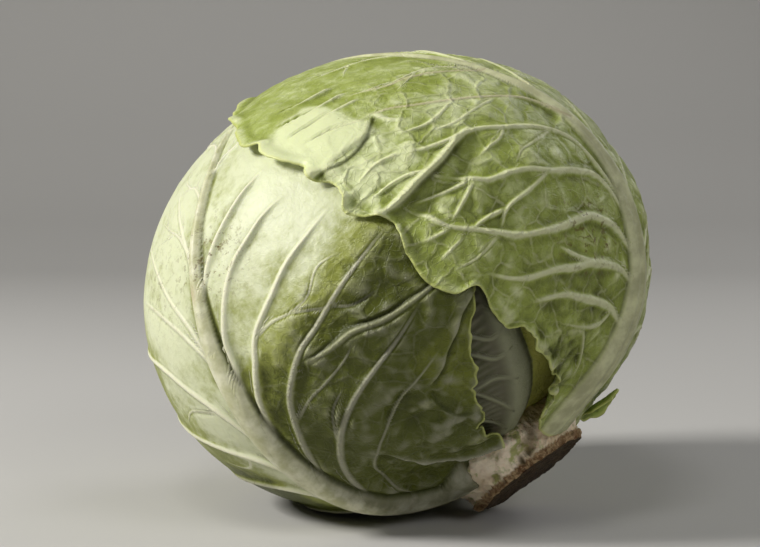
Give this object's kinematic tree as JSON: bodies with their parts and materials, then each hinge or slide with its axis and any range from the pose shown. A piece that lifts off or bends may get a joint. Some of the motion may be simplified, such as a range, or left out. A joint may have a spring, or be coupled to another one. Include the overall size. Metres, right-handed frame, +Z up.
{
  "type": "cabbage head",
  "caption": "Round white cabbage head lying on its side, with separate overlapping wrapper leaves, a torn gap onto inner leaves and a cut stump.",
  "frame": {"origin": "on the resting surface, under the middle of the head's box", "axes": "+Z up with the head lying on its flat spot; the cut stump points down towards +X and a little towards -Y"},
  "size_m": [0.1842, 0.1828, 0.1662],
  "materials": {
    "outer_leaf_green": "waxy satin leaf, yellow-green with paler veins",
    "outer_leaf_pale": "waxy satin leaf, pale green with cream ribs",
    "crown_leaf": "waxy satin leaf, pale green",
    "inner_leaf": "matt cream-white leaf with a thick pale rib",
    "inner_leaf_dark": "dull olive leaf",
    "torn_scrap": "thin yellow-green leaf",
    "heart": "tightly folded pale leaves",
    "stump_flesh": "cream flesh with a dry brown fibrous cut"
  },
  "bodies": {
    "root": {"right_wrapper_leaf": "outer_leaf_green", "left_wrapper_leaf": "outer_leaf_pale", "back_wrapper_leaf": "outer_leaf_pale", "crown_leaf": "crown_leaf", "inner_leaf": "inner_leaf", "inner_under_leaf": "inner_leaf_dark", "torn_leaf_scrap": "torn_scrap", "heart": "heart", "stump": "stump_flesh"}
  },
  "joints": []
}
